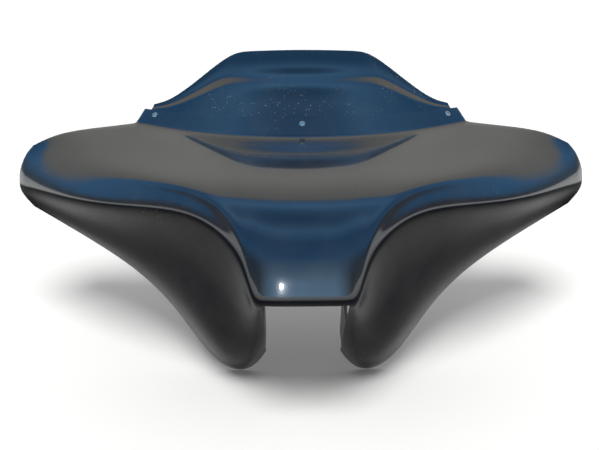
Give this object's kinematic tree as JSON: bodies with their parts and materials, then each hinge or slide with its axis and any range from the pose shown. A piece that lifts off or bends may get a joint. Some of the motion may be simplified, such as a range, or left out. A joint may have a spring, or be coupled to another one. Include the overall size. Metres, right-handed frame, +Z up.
{
  "type": "motorcycle fairing",
  "caption": "Handlebar-mounted batwing fairing shell with swept wings, two legs beside a notch, and a short recurved windscreen bolted behind an upturned neck.",
  "frame": {"origin": "middle of the footprint, on the level of the leg tips", "axes": "+X across the fairing, to the right as seen from the front; -Y the way the nose faces; +Z up"},
  "size_m": [0.9178, 0.4706, 0.4645],
  "materials": {
    "black_paint": "gloss black paint over moulded glass fibre",
    "smoked_acrylic": "polished dark smoked acrylic sheet, opaque to the eye",
    "gasket_rubber": "matt black rubber strip",
    "bright_steel": "bright zinc-plated steel",
    "plate_steel": "bare rolled steel strap",
    "nylon": "natural white nylon"
  },
  "bodies": {
    "root": {"fairing_shell": "black_paint", "windscreen": "smoked_acrylic", "windscreen_gasket": "gasket_rubber", "windscreen_screw_left": "bright_steel", "windscreen_screw_centre": "bright_steel", "windscreen_screw_right": "bright_steel", "nylon_washer_left": "nylon", "nylon_washer_centre": "nylon", "nylon_washer_right": "nylon", "lock_nut_left": "bright_steel", "lock_nut_centre": "bright_steel", "lock_nut_right": "bright_steel", "leg_backing_plate_left": "plate_steel", "leg_backing_plate_right": "plate_steel"}
  },
  "joints": []
}
